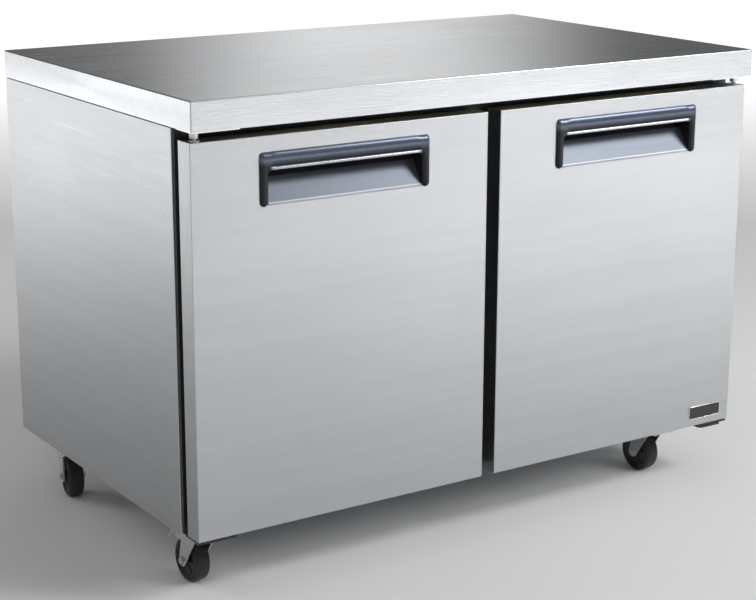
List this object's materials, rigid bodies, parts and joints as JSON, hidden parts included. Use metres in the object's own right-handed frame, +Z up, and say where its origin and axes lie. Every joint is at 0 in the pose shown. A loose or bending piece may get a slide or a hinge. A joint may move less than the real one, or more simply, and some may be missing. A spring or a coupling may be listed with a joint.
{
  "type": "undercounter refrigerator",
  "caption": "Undercounter refrigerator: stainless worktop over a cabinet with hinged doors, recessed pulls, wire shelves, rear cooling unit and swivel casters.",
  "frame": {"origin": "on the floor under the middle of the cabinet's outline", "axes": "+Z up, +X along the worktop to the right as seen facing the doors, doors facing -Y"},
  "size_m": [1.225, 0.762, 0.864],
  "materials": {
    "stainless": "brushed",
    "galvanised": "spangled",
    "liner_metal": "satin",
    "foam": "matte",
    "black_moulding": "gloss",
    "black_plastic": "satin",
    "gasket_rubber": "matte",
    "zinc": "satin",
    "black_steel": "satin",
    "shelf_coat": "satin",
    "fin_metal": "satin",
    "copper": "satin",
    "nylon": "satin",
    "wheel_rubber": "satin",
    "grey_plastic": "satin"
  },
  "bodies": {
    "cabinet": {"worktop_skin": "stainless", "worktop_core": "foam", "left_side_panel": "stainless", "right_side_panel": "stainless", "base_panel": "galvanised", "top_panel": "galvanised", "back_panel": "galvanised", "rear_grille": "galvanised", "cabinet_insulation": "foam", "inner_liner": "liner_metal", "mullion_cover": "stainless", "breaker_frame": "black_plastic", "shelf_pilasters": "stainless", "shelf_clips": "zinc", "shelf_left": "shelf_coat", "shelf_right": "shelf_coat", "evaporator_coil": "fin_metal", "evaporator_cover": "liner_metal", "evaporator_motor": "black_steel", "drain_pan": "grey_plastic", "thermostat_body": "grey_plastic", "unit_tray": "galvanised", "compressor": "black_steel", "condenser_coil": "fin_metal", "condenser_shroud": "galvanised", "condenser_motor": "black_steel", "condensate_pan": "black_plastic", "refrigerant_pipes": "copper", "electrical_box": "galvanised", "cord_gland": "black_plastic", "top_hinges": "zinc", "bottom_hinges": "black_steel", "caster_mounts": "black_steel", "cabinet_screws": "zinc"},
    "evaporator_fan": {"evaporator_fan": "black_plastic"},
    "condenser_fan": {"condenser_fan": "black_plastic"},
    "thermostat_knob": {"thermostat_knob": "black_plastic"},
    "left_door": {"left_door_skin": "stainless", "left_door_insulation": "foam", "left_door_inner_panel": "liner_metal", "left_door_gasket": "gasket_rubber", "left_door_pull": "black_moulding", "left_hinge_bushes": "nylon"},
    "right_door": {"right_door_skin": "stainless", "right_door_insulation": "foam", "right_door_inner_panel": "liner_metal", "right_door_gasket": "gasket_rubber", "right_door_pull": "black_moulding", "right_hinge_bushes": "nylon", "badge": "black_moulding"},
    "front_left_fork": {"caster_front_left_fork": "zinc"},
    "front_left_wheel": {"caster_front_left_wheel": "wheel_rubber"},
    "front_left_pedal": {"caster_front_left_pedal": "zinc"},
    "front_right_fork": {"caster_front_right_fork": "zinc"},
    "front_right_wheel": {"caster_front_right_wheel": "wheel_rubber"},
    "front_right_pedal": {"caster_front_right_pedal": "zinc"},
    "rear_left_fork": {"caster_rear_left_fork": "zinc"},
    "rear_left_wheel": {"caster_rear_left_wheel": "wheel_rubber"},
    "rear_right_fork": {"caster_rear_right_fork": "zinc"},
    "rear_right_wheel": {"caster_rear_right_wheel": "wheel_rubber"}
  },
  "joints": [
    {"name": "left_door_hinge", "type": "hinge", "parent": "cabinet", "child": "left_door", "pos_m": [-0.593, -0.354, 0.45], "axis": [0, 0, 1], "range_deg": [-110, 0], "stiffness_Nm_per_rad": 1.5, "springref_deg": 20.05},
    {"name": "right_door_hinge", "type": "hinge", "parent": "cabinet", "child": "right_door", "pos_m": [0.593, -0.354, 0.45], "axis": [0, 0, 1], "range_deg": [0, 110], "stiffness_Nm_per_rad": 1.5, "springref_deg": -20.05},
    {"name": "evaporator_fan_spin", "type": "hinge", "parent": "cabinet", "child": "evaporator_fan", "pos_m": [0, 0.248, 0.678], "axis": [0, 1, 0], "continuous": true},
    {"name": "condenser_fan_spin", "type": "hinge", "parent": "cabinet", "child": "condenser_fan", "pos_m": [0.27, 0.302, 0.232], "axis": [0, 1, 0], "continuous": true},
    {"name": "thermostat_knob_turn", "type": "hinge", "parent": "cabinet", "child": "thermostat_knob", "pos_m": [0.285, 0.296, 0.67], "axis": [0, -1, 0], "range_deg": [0, 270]},
    {"name": "front_left_swivel", "type": "hinge", "parent": "cabinet", "child": "front_left_fork", "pos_m": [-0.5705, -0.303, 0.09], "axis": [0, 0, 1], "continuous": true},
    {"name": "front_left_wheel_roll", "type": "hinge", "parent": "front_left_fork", "child": "front_left_wheel", "pos_m": [-0.57165, -0.27002, 0.04], "axis": [0.9994, 0.0349, 0], "continuous": true},
    {"name": "front_left_brake", "type": "hinge", "parent": "front_left_fork", "child": "front_left_pedal", "pos_m": [-0.57225, -0.25303, 0.084], "axis": [0.9994, 0.0349, 0], "range_deg": [-8, 0]},
    {"name": "front_right_swivel", "type": "hinge", "parent": "cabinet", "child": "front_right_fork", "pos_m": [0.4655, -0.303, 0.09], "axis": [0, 0, 1], "continuous": true},
    {"name": "front_right_wheel_roll", "type": "hinge", "parent": "front_right_fork", "child": "front_right_wheel", "pos_m": [0.46435, -0.27002, 0.04], "axis": [0.9994, 0.0349, 0], "continuous": true},
    {"name": "front_right_brake", "type": "hinge", "parent": "front_right_fork", "child": "front_right_pedal", "pos_m": [0.46375, -0.25303, 0.084], "axis": [0.9994, 0.0349, 0], "range_deg": [-8, 0]},
    {"name": "rear_left_swivel", "type": "hinge", "parent": "cabinet", "child": "rear_left_fork", "pos_m": [-0.5705, 0.259, 0.09], "axis": [0, 0, 1], "continuous": true},
    {"name": "rear_left_wheel_roll", "type": "hinge", "parent": "rear_left_fork", "child": "rear_left_wheel", "pos_m": [-0.57623, 0.2265, 0.04], "axis": [-0.9848, 0.1736, 0], "continuous": true},
    {"name": "rear_right_swivel", "type": "hinge", "parent": "cabinet", "child": "rear_right_fork", "pos_m": [0.4655, 0.259, 0.09], "axis": [0, 0, 1], "continuous": true},
    {"name": "rear_right_wheel_roll", "type": "hinge", "parent": "rear_right_fork", "child": "rear_right_wheel", "pos_m": [0.4678, 0.22608, 0.04], "axis": [-0.9976, -0.0698, 0], "continuous": true}
  ]
}
